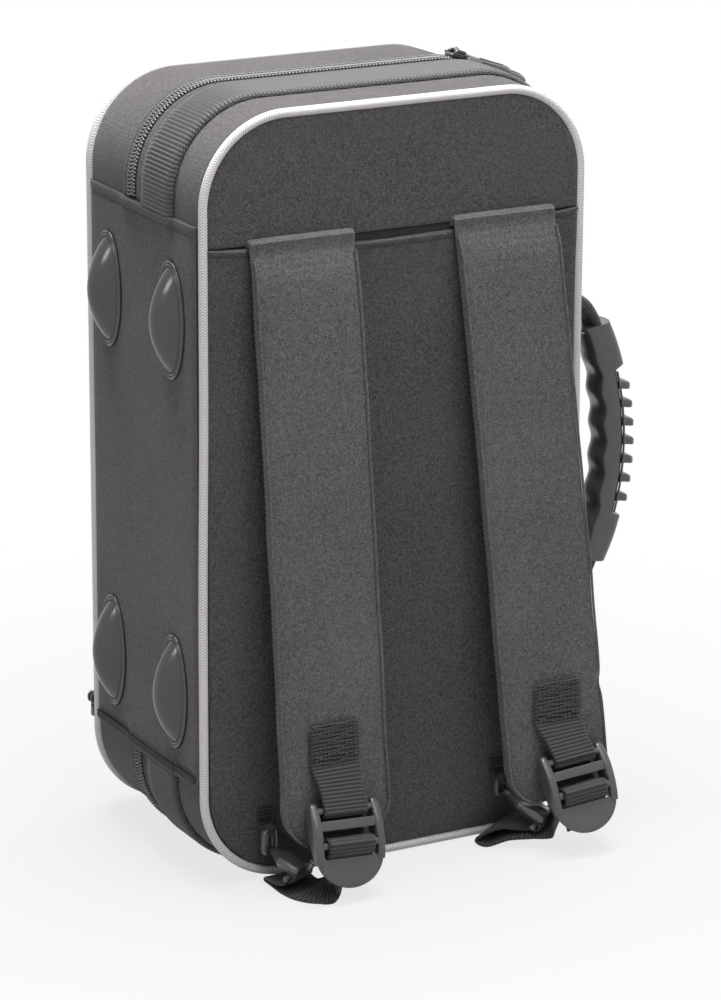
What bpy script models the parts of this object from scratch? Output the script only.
"""A soft-sided case for a cornet, standing on its short end, with its lid zipped shut.

Metres, +Z up. The origin is on the floor, under the middle of the webbing band.
The shoulder straps are at -Y, the outer pocket is at +Y, the hinge and the rubber
feet are at -X, and the carrying handle is at +X.
"""
import math

import bmesh
import bpy
from mathutils import Matrix, Vector

# Overall form of the case
CASE_WIDTH = 0.254
CASE_HEIGHT = 0.461
CASE_DEPTH = 0.150
CORNER_RADIUS = 0.056
ZIP_DEPTH = 0.087
FOAM_WALL = 0.010
SKIN_INSET = 0.0025
RIM_SETBACK = 0.002
PIPING_DIAMETER = 0.006

# Fits: touching pieces, running pieces, and how far cutters overrun
FIT = 0.0003
RUNNING_FIT = 0.0005
OVERRUN = 0.004

# Zip and the webbing band round the gusset
ZIP_CHAIN_WIDTH = 0.010
ZIP_CHAIN_THICKNESS = 0.0020
ZIP_SPLIT = 0.0003
TAPE_WIDTH = 0.0095
TAPE_THICKNESS = 0.0008
BAND_WIDTH = 0.0375
BAND_THICKNESS = 0.0021

# Fabric hinge panel between the two ends of the zip
SEAM_BELOW_TOP_CORNER = 0.009
SEAM_ABOVE_BOTTOM_CORNER = 0.005
HINGE_FABRIC = 0.0016
HINGE_SPLIT = 0.0008

# Rubber feet on the hinge side
FOOT_LENGTH = 0.070
FOOT_WIDTH = 0.034
FOOT_HEIGHT = 0.0135
FOOT_RIM = 0.0018
FOOT_GROOVE = 0.0028
FOOT_SEAM_MARGIN = 0.0245
FOOT_UPPER_LOWER_MARGIN = 0.017
BODY_FOOT_DEPTH = 0.0355
LID_FOOT_DEPTH = 0.1185

# Back panels and the slot the straps come out of
SLOT_BELOW_TOP = 0.0765
SLOT_GAP = 0.0016
PANEL_FABRIC = 0.0014

# Shoulder pads
PAD_TOP_WIDTH = 0.068
PAD_BOTTOM_WIDTH = 0.071
PAD_THICKNESS = 0.010
PAD_ROOT_THICKNESS = 0.005
PAD_BOTTOM_Z = 0.027
PAD_END_RADIUS = 0.024
PAD_STANDOFF = 0.026
STRAP_X_SHARES = {"left": (-0.498, -0.421), "right": (0.540, 0.768)}

# Webbing of the straps
WEBBING_WIDTH = 0.032
WEBBING_THICKNESS = 0.0016
PATCH_ABOVE_PIN = {"left": 0.026, "right": 0.022}
PATCH_SEWN_LENGTH = 0.024

# Ladder locks
LOCK_WIDTH = 0.044
LOCK_THICKNESS = 0.0042
LOCK_RAIL = 0.0054
LOCK_BAR = 0.0045
LOCK_SLOT = 0.0064
LOCK_PIN_DIAMETER = 0.0044
LOCK_TAB = 0.0155
LOCK_TIP_Z = {"left": 0.0096, "right": 0.0151}
LOCK_TILTS = {"left": math.radians(22), "right": math.radians(25)}
LOCK_SHIFT_SHARES = {"left": -0.031, "right": 0.094}
FOLD_SHARES = {"left": 0.65, "right": 0.0}
TAIL_GAP = 0.005

# Snap hooks and the tabs they hang on
TAB_WIDTH = 0.013
TAB_THICKNESS = 0.0015
TAB_SEWN_LENGTH = 0.018
TAB_PIN_Z = 0.031
TAB_X_SHARES = {"left": -0.681, "right": 0.520}
HOOK_WIDTH = 0.022
HOOK_THICKNESS = 0.0046
HOOK_LENGTH = 0.035
HOOK_EYE = 0.0075
HOOK_PIN_DIAMETER = 0.0042
HOOK_SLOT_LENGTH = 0.0075
HOOK_FOOT_WIDTH = 0.039
HOOK_FOOT_LENGTH = 0.012
HOOK_BAR_Z = 0.0095

# Carrying handle
HANDLE_CENTRE_Z = 0.221
GRIP_LENGTH = 0.153
GRIP_WIDTH = 0.021
GRIP_MIDDLE_DEPTH = 0.024
GRIP_END_DEPTH = 0.0205
GRIP_STANDOFF = 0.052
GRIP_BOW = 0.0155
GRIP_SLOTS = 8
GRIP_SLOT_PITCH = 0.0119
GRIP_SLOT_HEIGHT = 0.0062
GRIP_SLOT_WALL = 0.0008
FINGER_GROOVE = 0.0016
HANDLE_STRAP_WIDTH = 0.0165
HANDLE_STRAP_THICKNESS = 0.0080
HANDLE_BEND_RADIUS = 0.027
ANCHOR_LENGTH = 0.040
ANCHOR_THICKNESS = 0.0018

# Zip sliders and pulls
SLIDER_LENGTH = 0.0125
SLIDER_WIDTH = 0.0115
SLIDER_BASE = 0.0022
SLIDER_EAR = 0.0016
SLIDER_EAR_HEIGHT = 0.0036
SLIDER_EAR_LENGTH = 0.0040
SLIDER_LIP = 0.0006
UPPER_SLIDER_ANGLE = math.radians(16)
SIDE_SLIDER_ANGLE = math.radians(40)
PULL_THICKNESS = 0.0018
PULL_WIDTH = 0.0062
PULL_OFFSET = 0.0038
PULL_LENGTH = 0.040
SHORT_PULL_LENGTH = 0.031
UPPER_PULL_TILT = math.radians(17)
SIDE_PULL_TILT = math.radians(22)

# Outer pocket on the lid
POCKET_INSET = 0.0065
POCKET_EDGE = 0.006
POCKET_ZIP_WIDTH = 0.010
POCKET_ZIP_THICKNESS = 0.0008
POCKET_CHAIN_WIDTH = 0.0046
POCKET_CHAIN_HEIGHT = 0.0010
POCKET_ZIP_BOTTOM_MARGIN = 0.004
POCKET_ZIP_TOP_MARGIN = 0.016
POCKET_SLIDER_LENGTH = 0.010
POCKET_SLIDER_WIDTH = 0.0088
POCKET_PULL_LENGTH = 0.020

# Inside: cradle for the cornet, mouthpiece block, accessory box, lid pad
LINING_GAP = 0.0006
CRADLE_BELOW_RIM = 0.011
BELL_BAY_WIDTH = 0.128
BELL_BAY_LENGTH = 0.092
BELL_BAY_FLOOR = 0.0016
TUBE_BAY_WIDTH = 0.104
TUBE_BAY_FLOOR = 0.016
VALVE_BAY_WIDTH = 0.128
VALVE_BAY_LENGTH = 0.078
VALVE_BAY_FLOOR = 0.010
VALVE_BAY_CENTRE_SHARE = 0.42
BAY_EDGE = 0.014
BAY_RADIUS = 0.012
BOX_WIDTH = 0.038
BOX_LENGTH = 0.185
BOX_WALL = 0.0025
BOX_DEPTH = 0.048
BOX_LID_THICKNESS = 0.003
BLOCK_LENGTH = 0.080
BLOCK_DEPTH = 0.044
MOUTHPIECE_HOLE_DIAMETER = 0.026
MOUTHPIECE_HOLE_DEPTH = 0.036
LID_PAD_THICKNESS = 0.009

# How finely round shapes are cut
CORNER_STEPS = 7
PIPING_SIDES = 10
FOOT_SIDES = 28
PATH_STEPS = 3

# Values worked out from the sizes above
HALF_WIDTH = CASE_WIDTH / 2
BAND_DEPTH = ZIP_DEPTH - ZIP_CHAIN_WIDTH / 2 - TAPE_WIDTH - 2 * FIT - BAND_WIDTH / 2
BACK_Y = -BAND_DEPTH
FRONT_Y = BACK_Y + CASE_DEPTH
ZIP_Y = BACK_Y + ZIP_DEPTH
SEAM_TOP_Z = CASE_HEIGHT - CORNER_RADIUS - SEAM_BELOW_TOP_CORNER
SEAM_BOTTOM_Z = CORNER_RADIUS + SEAM_ABOVE_BOTTOM_CORNER
SLOT_Z = CASE_HEIGHT - SLOT_BELOW_TOP
CAVITY_INSET = SKIN_INSET + FOAM_WALL
BODY_RIM_DEPTH = ZIP_DEPTH - RIM_SETBACK
LID_RIM_DEPTH = CASE_DEPTH - ZIP_DEPTH - RIM_SETBACK
PANEL_OUTER_Y = BACK_Y + SKIN_INSET - FIT - PANEL_FABRIC
HANDLE_Y = BACK_Y + BAND_DEPTH
UP = Vector((0, 0, 1))
ACROSS_X = Vector((1, 0, 0))
ACROSS_Y = Vector((0, 1, 0))

# Unit sections: a flat strap, and a padded one with round edges
FLAT_SECTION_SHARES = ((-1, -1), (1, -1), (1, 1), (-1, 1))
PADDED_SECTION_SHARES = tuple(
    (
        math.copysign(abs(math.cos(angle)) ** 0.35, math.cos(angle)),
        math.copysign(abs(math.sin(angle)) ** 0.75, math.sin(angle)),
    )
    for angle in (math.radians(15 + 30 * step) for step in range(12))
)

FINISHES = {
    "charcoal_nylon": ((0.082, 0.079, 0.081), 0.85, 0.0),
    "strap_fabric": ((0.112, 0.110, 0.109), 0.88, 0.0),
    "lining": ((0.050, 0.050, 0.055), 0.95, 0.0),
    "piping": ((0.480, 0.465, 0.450), 0.80, 0.0),
    "webbing": ((0.022, 0.022, 0.023), 0.75, 0.0),
    "zip_tape": ((0.045, 0.044, 0.046), 0.85, 0.0),
    "zip_coil": ((0.020, 0.020, 0.021), 0.45, 0.0),
    "rubber": ((0.016, 0.016, 0.017), 0.30, 0.0),
    "moulded_plastic": ((0.060, 0.060, 0.062), 0.42, 0.0),
    "slider_metal": ((0.100, 0.105, 0.105), 0.35, 0.7),
}


def clear_scene():
    for item in list(bpy.data.objects):
        bpy.data.objects.remove(item, do_unlink=True)


def collection(name):
    made = bpy.data.collections.new(name)
    bpy.context.scene.collection.children.link(made)
    return made


def material(name):
    color, roughness, metallic = FINISHES[name]
    made = bpy.data.materials.new(name)
    made.use_nodes = True
    shader = made.node_tree.nodes["Principled BSDF"]
    shader.inputs["Base Color"].default_value = (*color, 1)
    shader.inputs["Roughness"].default_value = roughness
    shader.inputs["Metallic"].default_value = metallic
    made.diffuse_color = (*color, 1)
    return made


def add_object(name, bm, finish=None):
    """Makes a mesh object; with no finish it is a cutter, hidden in renders."""
    bmesh.ops.recalc_face_normals(bm, faces=bm.faces)
    mesh = bpy.data.meshes.new(name)
    bm.to_mesh(mesh)
    bm.free()
    made = bpy.data.objects.new(name, mesh)
    if finish is None:
        cutters.objects.link(made)
        made.hide_render = True
        made.display_type = "WIRE"
    else:
        parts.objects.link(made)
        mesh.materials.append(finishes[finish])
        mesh.shade_smooth()
        mesh.set_sharp_from_angle(angle=math.radians(35))
    return made


def loft(name, sections, finish=None, ring=False):
    """Skins a row of sections with equal point counts, capped at both ends or closed to a ring."""
    bm = bmesh.new()
    rows = [[bm.verts.new(point) for point in section] for section in sections]
    pairs = list(zip(rows, rows[1:]))
    if ring:
        pairs.append((rows[-1], rows[0]))
    else:
        bm.faces.new(rows[0])
        bm.faces.new(reversed(rows[-1]))
    for low, high in pairs:
        for index in range(len(low)):
            after = (index + 1) % len(low)
            bm.faces.new((low[index], high[index], high[after], low[after]))
    return add_object(name, bm, finish)


def block(name, low, high, finish=None, bevel=0, segments=2):
    """A box from its lowest to its highest corner, with an optional bevel."""
    bm = bmesh.new()
    bmesh.ops.create_cube(bm, size=1)
    size = [b - a for a, b in zip(low, high)]
    centre = [(a + b) / 2 for a, b in zip(low, high)]
    bmesh.ops.transform(bm, matrix=Matrix.LocRotScale(centre, None, size), verts=bm.verts)
    made = add_object(name, bm, finish)
    if bevel:
        rounded = made.modifiers.new("Rounded edges", "BEVEL")
        rounded.width = bevel
        rounded.segments = segments
    return made


def combine(target, tool, operation="DIFFERENCE"):
    step = target.modifiers.new(tool.name, "BOOLEAN")
    step.operation = operation
    step.object = tool
    step.solver = "EXACT"


def place(made, pivot, turn=None):
    """Puts an object's origin on its joint's axis, and turns it there if asked."""
    made.data.transform(Matrix.Translation(-Vector(pivot)))
    made.location = pivot
    if turn is not None:
        made.rotation_euler = turn
    return made


def pivot_empty(name, pivot, children):
    """An empty on a joint's axis that carries the pieces which turn together."""
    empty = bpy.data.objects.new(name, None)
    parts.objects.link(empty)
    empty.location = pivot
    empty.empty_display_size = PIPING_DIAMETER
    for child in children:
        child.parent = empty
        child.matrix_parent_inverse = Matrix.Translation(-Vector(pivot))
    return empty


def outline(inset):
    """The case's rounded outline in (x, z), drawn in by an inset all round."""
    radius = CORNER_RADIUS - inset
    side = HALF_WIDTH - CORNER_RADIUS
    low, high = CORNER_RADIUS, CASE_HEIGHT - CORNER_RADIUS
    points = []
    for quarter, (x, z) in enumerate(((side, high), (-side, high), (-side, low), (side, low))):
        for step in range(CORNER_STEPS + 1):
            angle = (quarter + step / CORNER_STEPS) * math.pi / 2
            points.append((x + radius * math.cos(angle), z + radius * math.sin(angle)))
    return points


def level(inset, y):
    return [Vector((x, y, z)) for x, z in outline(inset)]


def depth_y(face, depth):
    """The y of a depth counted inwards from the back (face -1) or the front (face 1)."""
    return FRONT_Y - depth if face > 0 else BACK_Y + depth


def zip_route(inset):
    """(x, z) points from the upper seam over the top, down the handle side and back to the lower seam."""
    points = outline(inset)
    quarter = CORNER_STEPS + 1
    top_left = points[quarter : 2 * quarter][::-1]
    top_right = points[:quarter][::-1]
    bottom_right = points[3 * quarter :][::-1]
    bottom_left = points[2 * quarter : 3 * quarter][::-1]
    side = HALF_WIDTH - inset
    ends = ((-side, SEAM_TOP_Z + FIT), (-side, SEAM_BOTTOM_Z - FIT))
    return [ends[0], *top_left, *top_right, *bottom_right, *bottom_left, ends[1]]


def zip_strip(name, finish, outer_inset, thickness, y_low, y_high):
    """A flat strip that follows the zip's route round the gusset."""
    outer, inner = zip_route(outer_inset), zip_route(outer_inset + thickness)
    sections = [
        [
            Vector((a[0], y_low, a[1])),
            Vector((a[0], y_high, a[1])),
            Vector((b[0], y_high, b[1])),
            Vector((b[0], y_low, b[1])),
        ]
        for a, b in zip(outer, inner)
    ]
    return loft(name, sections, finish)


def smooth_path(points, steps=PATH_STEPS):
    """A smooth curve through a few points."""
    points = [Vector(point) for point in points]
    padded = [2 * points[0] - points[1], *points, 2 * points[-1] - points[-2]]
    curve = []
    for before, start, end, after in zip(padded, padded[1:], padded[2:], padded[3:]):
        for step in range(steps):
            t = step / steps
            curve.append(
                (
                    2 * start
                    + (end - before) * t
                    + (2 * before - 5 * start + 4 * end - after) * t**2
                    + (3 * start - before - 3 * end + after) * t**3
                )
                / 2
            )
    return [*curve, points[-1]]


def ribbon(name, path, width, thickness, finish=None, across=ACROSS_X, shape=FLAT_SECTION_SHARES):
    """A strap along a path. Width and thickness are sizes, or functions of the share of the path."""
    sections = []
    for index, point in enumerate(path):
        share = index / (len(path) - 1)
        ahead = path[min(index + 1, len(path) - 1)]
        behind = path[max(index - 1, 0)]
        normal = across.cross(ahead - behind).normalized()
        half_width = (width(share) if callable(width) else width) / 2
        half_thickness = (thickness(share) if callable(thickness) else thickness) / 2
        sections.append(
            [point + across * half_width * u + normal * half_thickness * v for u, v in shape]
        )
    return loft(name, sections, finish)


def shell(name, face, rim_depth):
    """One half of the foam shell: a tray with a rounded outline and a notch for the piping."""
    centre = PIPING_DIAMETER / 2
    notch = centre + FIT
    start = math.acos((SKIN_INSET - centre) / notch)
    profile = [
        (CAVITY_INSET, CAVITY_INSET),
        (CAVITY_INSET, rim_depth),
        (SKIN_INSET, rim_depth),
    ]
    steps = 6
    for step in range(steps + 1):
        angle = start + (math.pi / 2 - 2 * start) * step / steps
        profile.append((centre + notch * math.cos(angle), centre + notch * math.sin(angle)))
    return loft(
        name, [level(inset, depth_y(face, depth)) for inset, depth in profile], "charcoal_nylon"
    )


def piping(name, face):
    """The corded edge round a face, a round ring on the case's outline."""
    radius = PIPING_DIAMETER / 2
    sections = []
    for side in range(PIPING_SIDES):
        angle = math.pi + 2 * math.pi * side / PIPING_SIDES
        inset = radius + radius * math.cos(angle)
        depth = radius + radius * math.sin(angle)
        sections.append(level(inset, depth_y(face, depth)))
    return loft(name, sections, "piping", ring=True)


def hinge_leaf(name, y_low, y_high):
    outer = -HALF_WIDTH + SKIN_INSET - FIT - HINGE_FABRIC
    return block(
        name,
        (outer, y_low, SEAM_BOTTOM_Z),
        (outer + HINGE_FABRIC, y_high, SEAM_TOP_Z),
        "charcoal_nylon",
    )


def foot(name, depth, z):
    """An oval rubber dome on a flange, standing out from the hinge panel."""
    base_x = -HALF_WIDTH + SKIN_INSET - 2 * FIT - HINGE_FABRIC
    rings = [(1, 0), (1, FOOT_RIM), (1 - FOOT_GROOVE / FOOT_WIDTH, FOOT_RIM)]
    dome_scale = 1 - FOOT_GROOVE / FOOT_WIDTH
    steps = 6
    for step in range(1, steps + 1):
        angle = step / steps * math.radians(86)
        rise = FOOT_RIM + (FOOT_HEIGHT - FOOT_RIM) * math.sin(angle) ** 2
        rings.append((dome_scale * math.cos(angle), rise))
    sections = []
    for share, rise in rings:
        sections.append(
            [
                Vector(
                    (
                        base_x - rise,
                        BACK_Y + depth + share * FOOT_WIDTH / 2 * math.cos(turn),
                        z + share * FOOT_LENGTH / 2 * math.sin(turn),
                    )
                )
                for turn in (2 * math.pi * side / FOOT_SIDES for side in range(FOOT_SIDES))
            ]
        )
    return loft(name, sections, "rubber")


def back_panel(name, low_z, high_z):
    """A flat fabric panel inside the back piping, from one height to another."""
    inset = PIPING_DIAMETER + FIT
    side = HALF_WIDTH - inset
    kept = [(x, z) for x, z in outline(inset) if low_z < z < high_z]
    upper = [(x, z) for x, z in kept if z > CASE_HEIGHT / 2]
    lower = [(x, z) for x, z in kept if z <= CASE_HEIGHT / 2]
    top = upper or [(side, high_z), (-side, high_z)]
    bottom = lower or [(-side, low_z), (side, low_z)]
    ring = [*top, *bottom]
    ys = (PANEL_OUTER_Y, PANEL_OUTER_Y + PANEL_FABRIC)
    return loft(name, [[Vector((x, y, z)) for x, z in ring] for y in ys], "charcoal_nylon")


def pad_offset(share):
    """How far the middle of a shoulder pad stands off the back panel."""
    return PAD_ROOT_THICKNESS / 2 + PAD_STANDOFF * share**0.75


def pad_x(side, share):
    top, bottom = STRAP_X_SHARES[side]
    return HALF_WIDTH * (top + (bottom - top) * share)


def pad_point(side, z, lift=0):
    share = (SLOT_Z - z) / (SLOT_Z - PAD_BOTTOM_Z)
    return Vector((pad_x(side, share), PANEL_OUTER_Y - FIT - pad_offset(share) - lift, z))


def shoulder_pad(side):
    top = SLOT_Z - SLOT_GAP
    heights = [top + (PAD_BOTTOM_Z - top) * (step / 12) for step in range(12)]
    end = PAD_BOTTOM_Z + PAD_END_RADIUS
    heights = [z for z in heights if z > end]
    round_end = [
        end - PAD_END_RADIUS * math.sin(step / 5 * math.radians(88)) for step in range(6)
    ]
    path = [pad_point(side, z) for z in (*heights, *round_end)]
    length = top - PAD_BOTTOM_Z

    def width(share):
        z = path[round(share * (len(path) - 1))].z
        full = PAD_TOP_WIDTH + (PAD_BOTTOM_WIDTH - PAD_TOP_WIDTH) * (top - z) / length
        drop = max(0, end - z)
        return full - 2 * (PAD_END_RADIUS - math.sqrt(PAD_END_RADIUS**2 - drop**2))

    def thickness(share):
        z = path[round(share * (len(path) - 1))].z
        swell = min(1, (top - z) / (2 * PAD_THICKNESS))
        drop = max(0, end - z) / PAD_END_RADIUS
        full = PAD_ROOT_THICKNESS + (PAD_THICKNESS - PAD_ROOT_THICKNESS) * swell
        return full * (1 - drop**2 / 2)

    return ribbon(
        f"shoulder_pad_{side}",
        path,
        width,
        thickness,
        "strap_fabric",
        shape=PADDED_SECTION_SHARES,
    )


def lock_stations():
    """Distances down from the lock's pin to its slots, its lower bar and its round tip."""
    first_slot = LOCK_PIN_DIAMETER / 2 + LOCK_SLOT / 2
    pitch = LOCK_SLOT + LOCK_BAR
    second_slot = first_slot + pitch
    third_slot = second_slot + pitch
    tip = third_slot + LOCK_SLOT / 2 + LOCK_TAB
    return first_slot, second_slot, second_slot + pitch / 2, third_slot, tip


def lock_frame(side):
    """The ladder lock's pin, its direction down along the lock, and its outward normal."""
    tilt = LOCK_TILTS[side]
    down = Vector((0, -math.sin(tilt), -math.cos(tilt)))
    outward = Vector((0, -math.cos(tilt), math.sin(tilt)))
    pin_z = LOCK_TIP_Z[side] - lock_stations()[-1] * down.z
    lift = PAD_THICKNESS / 2 + LOCK_PIN_DIAMETER + 2 * WEBBING_THICKNESS
    pin = pad_point(side, pin_z, lift)
    pin.x = pad_x(side, 1) + WEBBING_WIDTH * LOCK_SHIFT_SHARES[side]
    return pin, down, outward


def pad_webbing(side):
    """Webbing sewn on the pad, which loops round the ladder lock's pin and back."""
    pin, down, outward = lock_frame(side)
    lift = PAD_THICKNESS / 2 + FIT + WEBBING_THICKNESS / 2
    sewn_low = pin.z + PATCH_ABOVE_PIN[side]
    sewn = [
        pad_point(side, sewn_low + PATCH_SEWN_LENGTH * (1 - step / 3), lift) for step in range(4)
    ]
    loop = LOCK_PIN_DIAMETER / 2 + RUNNING_FIT + WEBBING_THICKNESS / 2
    wrap = []
    for step in range(9):
        angle = math.radians(-15 + 225 * step / 8)
        wrap.append(pin + outward * loop * math.cos(angle) + down * loop * math.sin(angle))
    for point in sewn:
        point.x = pin.x
    path = [*sewn, *wrap]
    return ribbon(
        f"pad_webbing_{side}", path, WEBBING_WIDTH, WEBBING_THICKNESS, "webbing"
    )


def ladder_lock(side):
    """A flat buckle: two rails, a round pin, two bars and a round thumb tab."""
    pin, down, outward = lock_frame(side)
    first_slot, second_slot, _, third_slot, tip = lock_stations()
    half = LOCK_WIDTH / 2
    bottom = [
        (half * math.cos(angle), tip - LOCK_TAB * (1 - math.sin(angle)))
        for angle in (math.pi * step / 12 for step in range(13))
    ]
    corner = LOCK_PIN_DIAMETER / 2
    ring = [(half, -corner), *bottom, (-half, -corner)]
    sections = []
    for lift in (-LOCK_THICKNESS / 2, LOCK_THICKNESS / 2):
        sections.append([pin + ACROSS_X * u + down * v + outward * lift for u, v in ring])
    body = loft(f"ladder_lock_{side}", sections, "moulded_plastic")
    inner = half - LOCK_RAIL
    over = LOCK_THICKNESS
    spans = [
        (-corner - OVERRUN, first_slot + LOCK_SLOT / 2),
        (second_slot - LOCK_SLOT / 2, second_slot + LOCK_SLOT / 2),
        (third_slot - LOCK_SLOT / 2, third_slot + LOCK_SLOT / 2),
    ]
    for number, (start, end) in enumerate(spans, 1):
        corners = [(inner, start), (inner, end), (-inner, end), (-inner, start)]
        opening = loft(
            f"lock_slot_{number}_{side}",
            [
                [pin + ACROSS_X * u + down * v + outward * lift for u, v in corners]
                for lift in (-over, over)
            ],
        )
        combine(body, opening)
    sides = 12
    bar_ends = (-half + LOCK_RAIL / 2, half - LOCK_RAIL / 2)
    bar = loft(
        f"lock_pin_{side}",
        [
            [
                pin
                + ACROSS_X * u
                + outward * LOCK_PIN_DIAMETER / 2 * math.cos(turn)
                + down * LOCK_PIN_DIAMETER / 2 * math.sin(turn)
                for turn in (2 * math.pi * step / sides for step in range(sides))
            ]
            for u in bar_ends
        ],
    )
    combine(body, bar, "UNION")
    return body


def bar_clearance(width, thickness):
    """How far webbing's near face stays from the middle of a bar that it turns round."""
    return math.hypot(width / 2, thickness / 2) + RUNNING_FIT


def tab_pin(side):
    """The middle of the snap hook's eye bar, held by the tab on the back panel."""
    loop = bar_clearance(HOOK_PIN_DIAMETER, HOOK_THICKNESS) + TAB_THICKNESS
    return Vector((HALF_WIDTH * TAB_X_SHARES[side], PANEL_OUTER_Y - FIT - TAB_THICKNESS - loop, TAB_PIN_Z))


def anchor_tab(side):
    """A short webbing tab sewn to the back panel, looped round the snap hook's eye bar."""
    pin = tab_pin(side)
    loop = bar_clearance(HOOK_PIN_DIAMETER, HOOK_THICKNESS) + TAB_THICKNESS / 2
    wall_y = PANEL_OUTER_Y - FIT - TAB_THICKNESS / 2
    sewn = [
        Vector((pin.x, wall_y, pin.z + loop + TAB_SEWN_LENGTH * share)) for share in (1, 0.5, 0)
    ]
    wrap = []
    for step in range(10):
        angle = math.radians(-25 - 250 * step / 9)
        wrap.append(pin + Vector((0, loop * math.cos(angle), loop * math.sin(angle))))
    return ribbon(f"anchor_tab_{side}", [*sewn, *wrap], TAB_WIDTH, TAB_THICKNESS, "webbing")


def hook_frame(side):
    """The snap hook's eye bar, its direction towards its foot, and its upward normal."""
    pin = tab_pin(side)
    drop = math.asin((TAB_PIN_Z - HOOK_BAR_Z) / (HOOK_LENGTH - HOOK_PIN_DIAMETER / 2))
    out = Vector((0, -math.cos(drop), -math.sin(drop)))
    return pin, out, Vector((0, -math.sin(drop), math.cos(drop)))


def snap_hook(side):
    """A flat plastic hook: an eye on the tab's bar, a neck, and a wide foot with a slot for webbing."""
    pin, out, normal = hook_frame(side)
    half = HOOK_WIDTH / 2
    foot_half = HOOK_FOOT_WIDTH / 2
    eye_back = -HOOK_PIN_DIAMETER / 2
    shoulder = HOOK_LENGTH - HOOK_FOOT_LENGTH
    neck = half * 0.8
    ring = [
        (-half, eye_back),
        (half, eye_back),
        (half, HOOK_EYE + HOOK_PIN_DIAMETER),
        (neck, shoulder - HOOK_FOOT_LENGTH / 2),
        (foot_half, shoulder),
        (foot_half, HOOK_LENGTH),
        (-foot_half, HOOK_LENGTH),
        (-foot_half, shoulder),
        (-neck, shoulder - HOOK_FOOT_LENGTH / 2),
        (-half, HOOK_EYE + HOOK_PIN_DIAMETER),
    ]
    thick = HOOK_THICKNESS / 2
    body = loft(
        f"snap_hook_{side}",
        [[pin + ACROSS_X * u + out * v + normal * lift for u, v in ring] for lift in (-thick, thick)],
        "moulded_plastic",
    )
    eye_half = TAB_WIDTH / 2 + RUNNING_FIT * 2
    slot_half = WEBBING_WIDTH / 2 + RUNNING_FIT
    slot_end = HOOK_LENGTH - HOOK_PIN_DIAMETER
    spans = [
        (eye_half, HOOK_PIN_DIAMETER / 2, HOOK_PIN_DIAMETER / 2 + HOOK_EYE),
        (slot_half, slot_end - HOOK_SLOT_LENGTH, slot_end),
    ]
    for number, (reach, start, end) in enumerate(spans, 1):
        corners = [(reach, start), (reach, end), (-reach, end), (-reach, start)]
        opening = loft(
            f"hook_slot_{number}_{side}",
            [
                [pin + ACROSS_X * u + out * v + normal * lift for u, v in corners]
                for lift in (-HOOK_THICKNESS, HOOK_THICKNESS)
            ],
        )
        combine(body, opening)
    return body


def adjuster_webbing(side):
    """Webbing from the hook's foot up behind the lock, over its lower bar, down to a tail on the floor."""
    pin, down, outward = lock_frame(side)
    hook_pin, out, normal = hook_frame(side)
    _, _, lower_bar, _, tip = lock_stations()
    thin = WEBBING_THICKNESS / 2
    foot_bar = hook_pin + out * (HOOK_LENGTH - HOOK_PIN_DIAMETER / 2)
    reach = bar_clearance(HOOK_PIN_DIAMETER, HOOK_THICKNESS) + thin
    first = []
    for step in range(8):
        angle = math.radians(150 + 30 * step)
        first.append(foot_bar + out * reach * math.cos(angle) + normal * reach * math.sin(angle))
    reach = bar_clearance(LOCK_BAR, LOCK_THICKNESS) + thin
    bar = pin + down * lower_bar

    def near_bar(along, lift):
        return bar + down * along + outward * lift

    behind = ((1.9, -1.7), (0.7, -1.25), (-0.35, -1.0), (-0.87, -0.65))
    middle = [near_bar(along * reach, lift * reach) for along, lift in behind]
    for step in range(9):
        angle = math.radians(-15 + 210 * step / 8)
        middle.append(near_bar(-reach * math.cos(angle), reach * math.sin(angle)))
    back = -(LOCK_THICKNESS / 2 + RUNNING_FIT + thin)
    tab_start = LOCK_BAR / 2 + LOCK_SLOT
    middle.append(near_bar(tab_start, back))
    floor = thin + FIT
    bend = 3 * WEBBING_THICKNESS
    fold_y = pin.y + (down * tip).y * FOLD_SHARES[side]
    tail = []
    for step in range(4):
        angle = math.pi / 2 * step / 3
        y = fold_y + bend * (1 - math.cos(angle))
        tail.append(Vector((0, y, floor + bend * (1 - math.sin(angle)))))
    start_y, end_y = tail[-1].y, BACK_Y - TAIL_GAP
    tail += [Vector((0, start_y + (end_y - start_y) * share, floor)) for share in (0.2, 0.6, 1)]
    points = [*first, *middle, *tail]
    for index, point in enumerate(points):
        tail_share = max(0, index - len(first) - len(middle) + 1) / len(tail)
        hook_share = 1 if index < len(first) else tail_share
        point.x = pin.x + (hook_pin.x - pin.x) * hook_share
    return ribbon(
        f"adjuster_webbing_{side}",
        smooth_path(points, 2),
        WEBBING_WIDTH,
        WEBBING_THICKNESS,
        "webbing",
    )


def grip_x(z):
    """The middle of the bowed grip at a height."""
    share = (z - HANDLE_CENTRE_Z) / (GRIP_LENGTH / 2)
    return HALF_WIDTH + GRIP_STANDOFF - GRIP_BOW * share**2


def handle_arc():
    """The strap's bend from the grip's end to its root, as (distance out, rise) steps."""
    slope = math.atan(2 * GRIP_BOW / (GRIP_LENGTH / 2))
    start = math.pi / 2 + slope
    points = []
    steps = 6
    for step in range(steps + 1):
        heading = start + (math.pi - start) * step / steps
        dx = HANDLE_BEND_RADIUS * (math.sin(heading) - math.sin(start))
        dz = HANDLE_BEND_RADIUS * (math.cos(start) - math.cos(heading))
        points.append((dx, dz))
    return points


def handle_root():
    """How far out and how high above the middle the handle strap's upper root lies."""
    dx, dz = handle_arc()[-1]
    end_z = HANDLE_CENTRE_Z + GRIP_LENGTH / 2
    return grip_x(end_z) + dx, end_z + dz - HANDLE_CENTRE_Z


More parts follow.
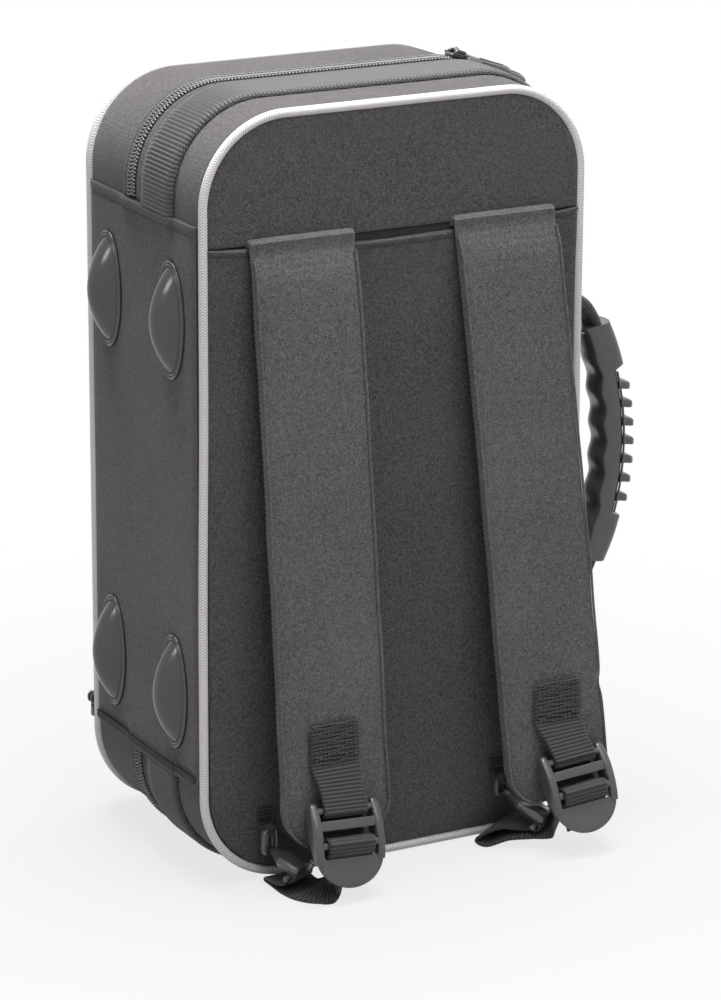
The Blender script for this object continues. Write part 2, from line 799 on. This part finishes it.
def handle_path():
    """The strap's middle line from its upper root through the grip to its lower root."""
    half = GRIP_LENGTH / 2
    upper = [
        Vector((grip_x(HANDLE_CENTRE_Z + half) + dx, HANDLE_Y, HANDLE_CENTRE_Z + half + dz))
        for dx, dz in handle_arc()
    ]
    inside = [
        Vector((grip_x(z), HANDLE_Y, z))
        for z in (HANDLE_CENTRE_Z + half * (1 - step / 5) for step in range(1, 10))
    ]
    lower = [Vector((point.x, HANDLE_Y, 2 * HANDLE_CENTRE_Z - point.z)) for point in upper]
    return [*reversed(upper), *inside, *lower]


def handle_pivot_x():
    """The roots turn about this axis, just clear of the anchors' face."""
    return HALF_WIDTH + FIT + ANCHOR_THICKNESS + FIT + HANDLE_STRAP_WIDTH / 2


def handle_strap():
    path = handle_path()
    radius = HANDLE_STRAP_WIDTH / 2
    pivot_x = handle_pivot_x()
    steps = 5
    ends = []
    for step in range(1, steps + 1):
        angle = math.pi / 2 * step / steps
        ends.append((pivot_x - radius * math.cos(angle * 0.98), radius * math.sin(angle)))
    root_z = path[0].z
    upper = [(Vector((x, HANDLE_Y, root_z)), half) for x, half in ends]
    lower = [
        (Vector((x, HANDLE_Y, 2 * HANDLE_CENTRE_Z - root_z)), half) for x, half in reversed(ends)
    ]
    middle = [(point, radius) for point in path if point.x > pivot_x + radius / 4]
    line = [*upper, *middle, *lower]
    sections = []
    for index, (point, half) in enumerate(line):
        ahead = line[min(index + 1, len(line) - 1)][0]
        behind = line[max(index - 1, 0)][0]
        normal = ACROSS_Y.cross(ahead - behind).normalized()
        thick = HANDLE_STRAP_THICKNESS / 2
        sections.append(
            [point + ACROSS_Y * half * u + normal * thick * v for u, v in PADDED_SECTION_SHARES]
        )
    return loft("handle_strap", sections, "webbing")


def handle_grip():
    """The moulded grip: a bowed sleeve with finger grooves inside and ribs along its outer edge."""
    half = GRIP_LENGTH / 2
    steps = 24
    sections = []
    for step in range(steps + 1):
        share = -1 + 2 * step / steps
        z = HANDLE_CENTRE_Z + half * share
        depth = GRIP_END_DEPTH + (GRIP_MIDDLE_DEPTH - GRIP_END_DEPTH) * (1 - share**2)
        groove = FINGER_GROOVE * max(0, 1 - abs(share)) * (1 + math.cos(8 * math.pi * share / 2))
        x = grip_x(z)
        ring = []
        for u, v in PADDED_SECTION_SHARES:
            inward = groove / 2 if v < 0 else 0
            ring.append(Vector((x + (depth / 2 - inward) * v, HANDLE_Y + GRIP_WIDTH / 2 * u, z)))
        sections.append(ring)
    grip = loft("handle_grip", sections, "moulded_plastic")
    bore_path = [Vector((grip_x(z), HANDLE_Y, z)) for z in (
        HANDLE_CENTRE_Z + (half + OVERRUN) * (1 - step / 6) for step in range(13)
    )]
    bore = ribbon(
        "grip_bore",
        bore_path,
        HANDLE_STRAP_WIDTH + 4 * FIT,
        HANDLE_STRAP_THICKNESS + 4 * FIT,
        across=ACROSS_Y,
        shape=PADDED_SECTION_SHARES,
    )
    combine(grip, bore)
    for slot in range(GRIP_SLOTS):
        z = HANDLE_CENTRE_Z + GRIP_SLOT_PITCH * (slot - (GRIP_SLOTS - 1) / 2)
        share = (z - HANDLE_CENTRE_Z) / half
        depth = GRIP_END_DEPTH + (GRIP_MIDDLE_DEPTH - GRIP_END_DEPTH) * (1 - share**2)
        low, high = z - GRIP_SLOT_HEIGHT / 2, z + GRIP_SLOT_HEIGHT / 2
        bore_x = max(grip_x(low), grip_x(high)) + HANDLE_STRAP_THICKNESS / 2 + 2 * FIT
        cutter = block(
            f"grip_slot_{slot + 1}",
            (bore_x + GRIP_SLOT_WALL, HANDLE_Y - GRIP_WIDTH, low),
            (grip_x(z) + depth / 2 + OVERRUN, HANDLE_Y + GRIP_WIDTH, high),
        )
        combine(grip, cutter)
    return grip


def handle_anchor(name, direction):
    """A webbing patch on the band, which the handle strap's root lies against."""
    _, rise = handle_root()
    z = HANDLE_CENTRE_Z + direction * rise
    low_x = HALF_WIDTH + FIT
    return block(
        name,
        (low_x, HANDLE_Y - HANDLE_STRAP_WIDTH / 2, z - ANCHOR_LENGTH / 2),
        (low_x + ANCHOR_THICKNESS, HANDLE_Y + HANDLE_STRAP_WIDTH / 2, z + ANCHOR_LENGTH / 2),
        "webbing",
    )


def slider_body(name, origin, along, across, rise, length, width):
    """A slider: a base plate with a lip along each side that rises to an ear in the middle."""
    outer, inner = width / 2, width / 2 - SLIDER_EAR
    ear = SLIDER_EAR_LENGTH / 2
    low, high = SLIDER_BASE + SLIDER_LIP, SLIDER_BASE + SLIDER_EAR_HEIGHT
    stations = [(length / 2, low), (ear * 1.15, low), (ear * 0.85, high)]
    stations += [(-reach, top) for reach, top in reversed(stations)]
    sections = []
    for reach, top in stations:
        profile = (
            (-outer, 0),
            (outer, 0),
            (outer, top),
            (inner, top),
            (inner, SLIDER_BASE),
            (-inner, SLIDER_BASE),
            (-inner, top),
            (-outer, top),
        )
        sections.append([origin + along * reach + across * u + rise * v for u, v in profile])
    return loft(name, sections, "slider_metal")


def pull(name, pin, along, across, length, knuckle_width, blade_width, offset=0):
    """A flat pull with a round knuckle; its blade may lie to one side of the knuckle."""
    rise = along.cross(across).normalized()
    knuckle = PULL_THICKNESS * 0.7
    half, blade = knuckle_width / 2, blade_width / 2
    stations = [
        (-knuckle, 0, half, 0.5),
        (-knuckle / 2, 0, half, 1.2),
        (knuckle / 2, 0, half, 1.2),
        (knuckle, 0, half, 0.9),
        (1.8 * knuckle, 0, half, 0.9),
        (2.4 * knuckle, offset, blade, 1),
        (length * 0.35, offset, blade * 0.7, 1),
        (length * 0.6, offset, blade, 1),
        (length - blade * 0.7, offset, blade, 1),
        (length - blade * 0.2, offset, blade * 0.8, 0.8),
        (length, offset, blade * 0.4, 0.6),
    ]
    sections = []
    for reach, shift, side, thick in stations:
        lift = PULL_THICKNESS / 2 * thick
        corners = ((-side, -lift), (side, -lift), (side, lift), (-side, lift))
        middle = pin + along * reach + across * shift
        sections.append([middle + across * u + rise * v for u, v in corners])
    return loft(name, sections, "slider_metal")


def zip_slider(name, pull_name, angle, pull_tilt, pull_length, offset):
    """A slider on the rounded corner of the zip, with its pull."""
    centre = Vector((HALF_WIDTH - CORNER_RADIUS, ZIP_Y, CASE_HEIGHT - CORNER_RADIUS))
    rise = Vector((math.sin(angle), 0, math.cos(angle)))
    along = Vector((math.cos(angle), 0, -math.sin(angle)))
    base = centre + rise * (CORNER_RADIUS + FIT)
    body = slider_body(name, base, along, ACROSS_Y, rise, SLIDER_LENGTH, SLIDER_WIDTH)
    pin = base + rise * (SLIDER_BASE + SLIDER_EAR_HEIGHT * 0.6)
    width = SLIDER_WIDTH - 2 * SLIDER_EAR - 2 * RUNNING_FIT
    direction = Vector((math.cos(pull_tilt), 0, -math.sin(pull_tilt)))
    lever = pull(pull_name, pin, direction, ACROSS_Y, pull_length, width, PULL_WIDTH, offset)
    place(body, centre)
    place(lever, pin)
    return body, lever


def front_pocket():
    """The outer pocket: a soft pillow on the lid's face, inside the piping."""
    side_end = pocket_zip_line()[2] + POCKET_ZIP_WIDTH / 2 + FIT
    levels = [
        (POCKET_INSET, FRONT_Y - SKIN_INSET + FIT),
        (POCKET_INSET, side_end),
        (POCKET_INSET + POCKET_EDGE / 4, side_end + POCKET_EDGE * 2 / 3),
        (POCKET_INSET + POCKET_EDGE, side_end + POCKET_EDGE),
    ]
    return loft("front_pocket", [level(inset, y) for inset, y in levels], "charcoal_nylon")


def pocket_zip_line():
    """The pocket zip's low and high ends, its middle y, and the x of the pocket's side."""
    low = CORNER_RADIUS + POCKET_ZIP_BOTTOM_MARGIN
    high = CASE_HEIGHT - CORNER_RADIUS - POCKET_ZIP_TOP_MARGIN
    middle = FRONT_Y + RUNNING_FIT + POCKET_SLIDER_WIDTH / 2
    return low, high, middle, -HALF_WIDTH + POCKET_INSET - FIT


def pocket_zip():
    """The zip on the pocket's hinge side, a tape with its raised chain."""
    low, high, middle, face = pocket_zip_line()
    chain, tape = POCKET_CHAIN_WIDTH / 2, POCKET_ZIP_WIDTH / 2
    top = POCKET_ZIP_THICKNESS + POCKET_CHAIN_HEIGHT
    profile = (
        (-tape, 0),
        (tape, 0),
        (tape, POCKET_ZIP_THICKNESS),
        (chain, POCKET_ZIP_THICKNESS),
        (chain, top),
        (-chain, top),
        (-chain, POCKET_ZIP_THICKNESS),
        (-tape, POCKET_ZIP_THICKNESS),
    )
    sections = [[Vector((face - v, middle + u, z)) for u, v in profile] for z in (low, high)]
    return loft("pocket_zip", sections, "zip_tape")


def pocket_slider():
    low, _, middle, face = pocket_zip_line()
    seat = POCKET_ZIP_THICKNESS + POCKET_CHAIN_HEIGHT + FIT
    origin = Vector((face - seat, middle, low + POCKET_SLIDER_LENGTH))
    body = slider_body(
        "pocket_slider",
        origin,
        UP,
        ACROSS_Y,
        -ACROSS_X,
        POCKET_SLIDER_LENGTH,
        POCKET_SLIDER_WIDTH,
    )
    pin = origin - ACROSS_X * (SLIDER_BASE + SLIDER_EAR_HEIGHT * 0.6)
    knuckle = POCKET_SLIDER_WIDTH - 2 * SLIDER_EAR - 2 * RUNNING_FIT
    lever = pull("pocket_pull", pin, -UP, ACROSS_Y, POCKET_PULL_LENGTH, knuckle, knuckle)
    place(body, origin)
    place(lever, pin)
    return body, lever


def bay(name, x_low, x_high, z_low, z_high, floor_y):
    """A cutter with rounded corners that opens a bay in the cradle, towards the lid."""
    top = ZIP_Y + OVERRUN
    made = block(name, (x_low, floor_y, z_low), (x_high, top, z_high))
    rounded = made.modifiers.new("Rounded bay", "BEVEL")
    rounded.width = BAY_RADIUS
    rounded.segments = 3
    return made


def cradle_box():
    """The cradle's lowest and highest corners, which fill the body's hollow."""
    side = HALF_WIDTH - CAVITY_INSET - LINING_GAP
    floor = BACK_Y + CAVITY_INSET + LINING_GAP
    top = BACK_Y + BODY_RIM_DEPTH - CRADLE_BELOW_RIM
    low_z = CAVITY_INSET + LINING_GAP
    return Vector((-side, floor, low_z)), Vector((side, top, CASE_HEIGHT - low_z))


def side_bay():
    """The long bay at the handle side, above the rounded corner, for the box and the block."""
    _, high = cradle_box()
    x_high = high.x - BAY_EDGE / 2
    return x_high - BOX_WIDTH, x_high, CORNER_RADIUS


def cradle():
    """A foam block cut out for a cornet lying on its side: bell bay, tube bay and valve bay."""
    low, high = cradle_box()
    sections = [level(CAVITY_INSET + LINING_GAP, y) for y in (low.y, high.y)]
    body = loft("cornet_cradle", sections, "lining")
    x_low = low.x + BAY_EDGE
    bell_low = high.z - BAY_EDGE - BELL_BAY_LENGTH
    bell = bay(
        "bell_bay", x_low, x_low + BELL_BAY_WIDTH, bell_low, high.z - BAY_EDGE, low.y + BELL_BAY_FLOOR
    )
    middle = x_low + BELL_BAY_WIDTH / 2
    tube = bay(
        "tube_bay",
        middle - TUBE_BAY_WIDTH / 2,
        middle + TUBE_BAY_WIDTH / 2,
        low.z + BAY_EDGE,
        bell_low + BAY_EDGE,
        low.y + TUBE_BAY_FLOOR,
    )
    valve_z = low.z + (high.z - low.z) * VALVE_BAY_CENTRE_SHARE
    valve = bay(
        "valve_bay",
        middle - VALVE_BAY_WIDTH / 2,
        middle + VALVE_BAY_WIDTH / 2,
        valve_z - VALVE_BAY_LENGTH / 2,
        valve_z + VALVE_BAY_LENGTH / 2,
        low.y + VALVE_BAY_FLOOR,
    )
    side_low, side_high, side_z = side_bay()
    kit = block(
        "side_bay",
        (side_low - RUNNING_FIT, high.y - BOX_DEPTH - BOX_LID_THICKNESS - RUNNING_FIT, side_z - RUNNING_FIT),
        (
            side_high + RUNNING_FIT,
            ZIP_Y + OVERRUN,
            side_z + BLOCK_LENGTH + BOX_LENGTH + 3 * RUNNING_FIT,
        ),
    )
    for cutter in (bell, tube, valve, kit):
        combine(body, cutter)
    return body


def mouthpiece_block():
    """A foam block with two holes for mouthpieces, at the low end of the side bay."""
    _, high = cradle_box()
    x_low, x_high, z_low = side_bay()
    floor = high.y - BOX_DEPTH - BOX_LID_THICKNESS
    top = floor + BLOCK_DEPTH
    body = block(
        "mouthpiece_block", (x_low, floor, z_low), (x_high, top, z_low + BLOCK_LENGTH), "lining"
    )
    for number, share in enumerate((0.27, 0.73), 1):
        bm = bmesh.new()
        bmesh.ops.create_cone(
            bm,
            cap_ends=True,
            segments=20,
            radius1=MOUTHPIECE_HOLE_DIAMETER / 2,
            radius2=MOUTHPIECE_HOLE_DIAMETER / 2,
            depth=2 * MOUTHPIECE_HOLE_DEPTH,
        )
        turn = Matrix.Rotation(math.pi / 2, 4, "X")
        spot = Vector(((x_low + x_high) / 2, top, z_low + BLOCK_LENGTH * share))
        bmesh.ops.transform(bm, matrix=Matrix.Translation(spot) @ turn, verts=bm.verts)
        combine(body, add_object(f"mouthpiece_hole_{number}", bm))
    return body


def accessory_box():
    """A stiff tray for valve oil and small things, with a lid hinged on the handle side."""
    _, high = cradle_box()
    x_low, x_high, z_low = side_bay()
    z_low += BLOCK_LENGTH + RUNNING_FIT
    floor = high.y - BOX_DEPTH - BOX_LID_THICKNESS
    top = floor + BOX_DEPTH
    tray = block(
        "accessory_box", (x_low, floor, z_low), (x_high, top, z_low + BOX_LENGTH), "lining"
    )
    hollow = block(
        "accessory_hollow",
        (x_low + BOX_WALL, floor + BOX_WALL, z_low + BOX_WALL),
        (x_high - BOX_WALL, top + OVERRUN, z_low + BOX_LENGTH - BOX_WALL),
    )
    combine(tray, hollow)
    lid = block(
        "accessory_lid",
        (x_low, top + FIT, z_low),
        (x_high, top + FIT + BOX_LID_THICKNESS, z_low + BOX_LENGTH),
        "lining",
    )
    pivot = Vector((x_high, top + FIT + BOX_LID_THICKNESS, z_low + BOX_LENGTH / 2))
    place(lid, pivot)
    return tray, lid


def lid_pad():
    """The padded lining on the inside of the lid, cut short of the cornet's bell."""
    low, high = cradle_box()
    bell_low = high.z - BAY_EDGE - BELL_BAY_LENGTH
    outer = FRONT_Y - CAVITY_INSET - LINING_GAP
    side = HALF_WIDTH - CAVITY_INSET - LINING_GAP
    ring = [(x, z) for x, z in outline(CAVITY_INSET + LINING_GAP) if z < CASE_HEIGHT / 2]
    ring = [(-side, bell_low), *ring, (side, bell_low)]
    sections = [
        [Vector((x, y, z)) for x, z in ring] for y in (outer - LID_PAD_THICKNESS, outer)
    ]
    return loft("lid_pad", sections, "lining")


def build_body():
    shell("body_shell", -1, BODY_RIM_DEPTH)
    piping("back_piping", -1)
    chain_low = ZIP_Y - ZIP_CHAIN_WIDTH / 2
    zip_strip("zip_chain_body", "zip_coil", 0, ZIP_CHAIN_THICKNESS, chain_low, ZIP_Y - ZIP_SPLIT)
    tape_low = chain_low - FIT - TAPE_WIDTH
    tape_inset = SKIN_INSET - FIT - TAPE_THICKNESS
    zip_strip("zip_tape_body", "zip_tape", tape_inset, TAPE_THICKNESS, tape_low, chain_low - FIT)
    band_high = tape_low - FIT
    zip_strip("gusset_webbing", "webbing", 0, BAND_THICKNESS, band_high - BAND_WIDTH, band_high)
    hinge_leaf("hinge_panel_body", BACK_Y + PIPING_DIAMETER + FIT, ZIP_Y - HINGE_SPLIT)
    back_panel("upper_back_panel", SLOT_Z, CASE_HEIGHT)
    back_panel("strap_pocket_panel", 0, SLOT_Z - SLOT_GAP)
    foot_upper = SEAM_TOP_Z - FOOT_SEAM_MARGIN - FOOT_LENGTH / 2
    foot_lower = SEAM_BOTTOM_Z + FOOT_UPPER_LOWER_MARGIN + FOOT_LENGTH / 2
    foot("foot_body_upper", BODY_FOOT_DEPTH, foot_upper)
    foot("foot_body_lower", BODY_FOOT_DEPTH, foot_lower)
    cradle()
    mouthpiece_block()
    accessory_box()
    for side in STRAP_X_SHARES:
        anchor_tab(side)


def build_lid():
    tape_inset = SKIN_INSET - FIT - TAPE_THICKNESS
    chain_high = ZIP_Y + ZIP_CHAIN_WIDTH / 2
    foot_upper = SEAM_TOP_Z - FOOT_SEAM_MARGIN - FOOT_LENGTH / 2
    foot_lower = SEAM_BOTTOM_Z + FOOT_UPPER_LOWER_MARGIN + FOOT_LENGTH / 2
    pieces = [
        shell("lid_shell", 1, LID_RIM_DEPTH),
        piping("front_piping", 1),
        zip_strip(
            "zip_chain_lid", "zip_coil", 0, ZIP_CHAIN_THICKNESS, ZIP_Y + ZIP_SPLIT, chain_high
        ),
        zip_strip(
            "zip_tape_lid",
            "zip_tape",
            tape_inset,
            TAPE_THICKNESS,
            chain_high + FIT,
            chain_high + FIT + TAPE_WIDTH / 2,
        ),
        hinge_leaf("hinge_panel_lid", ZIP_Y + HINGE_SPLIT, FRONT_Y - PIPING_DIAMETER - FIT),
        foot("foot_lid_upper", LID_FOOT_DEPTH, foot_upper),
        foot("foot_lid_lower", LID_FOOT_DEPTH, foot_lower),
        lid_pad(),
        front_pocket(),
        pocket_zip(),
    ]
    slider, lever = pocket_slider()
    pivot = Vector((-HALF_WIDTH, ZIP_Y, CASE_HEIGHT / 2))
    pivot_empty("lid_hinge", pivot, [*pieces, slider, lever])


def build_straps():
    for side in STRAP_X_SHARES:
        pad = shoulder_pad(side)
        patch = pad_webbing(side)
        lock = ladder_lock(side)
        place(lock, lock_frame(side)[0])
        root = Vector((pad_x(side, 0), PANEL_OUTER_Y, SLOT_Z))
        pivot_empty(f"strap_swing_{side}", root, [pad, patch, lock])
        hook = snap_hook(side)
        place(hook, tab_pin(side))
        adjuster_webbing(side)


def build_handle():
    handle_anchor("handle_anchor_upper", 1)
    handle_anchor("handle_anchor_lower", -1)
    pivot = Vector((handle_pivot_x(), HANDLE_Y, HANDLE_CENTRE_Z))
    pivot_empty("handle_swing", pivot, [handle_strap(), handle_grip()])


def build_sliders():
    rows = (
        ("upper", UPPER_SLIDER_ANGLE, UPPER_PULL_TILT, PULL_LENGTH, -PULL_OFFSET),
        ("side", SIDE_SLIDER_ANGLE, SIDE_PULL_TILT, SHORT_PULL_LENGTH, PULL_OFFSET),
    )
    for name, angle, tilt, length, offset in rows:
        zip_slider(f"zip_slider_{name}", f"zip_pull_{name}", angle, tilt, length, offset)


clear_scene()
parts = collection("cornet_case")
cutters = collection("cutters")
cutters.hide_render = True
finishes = {name: material(name) for name in FINISHES}
build_body()
build_lid()
build_straps()
build_handle()
build_sliders()
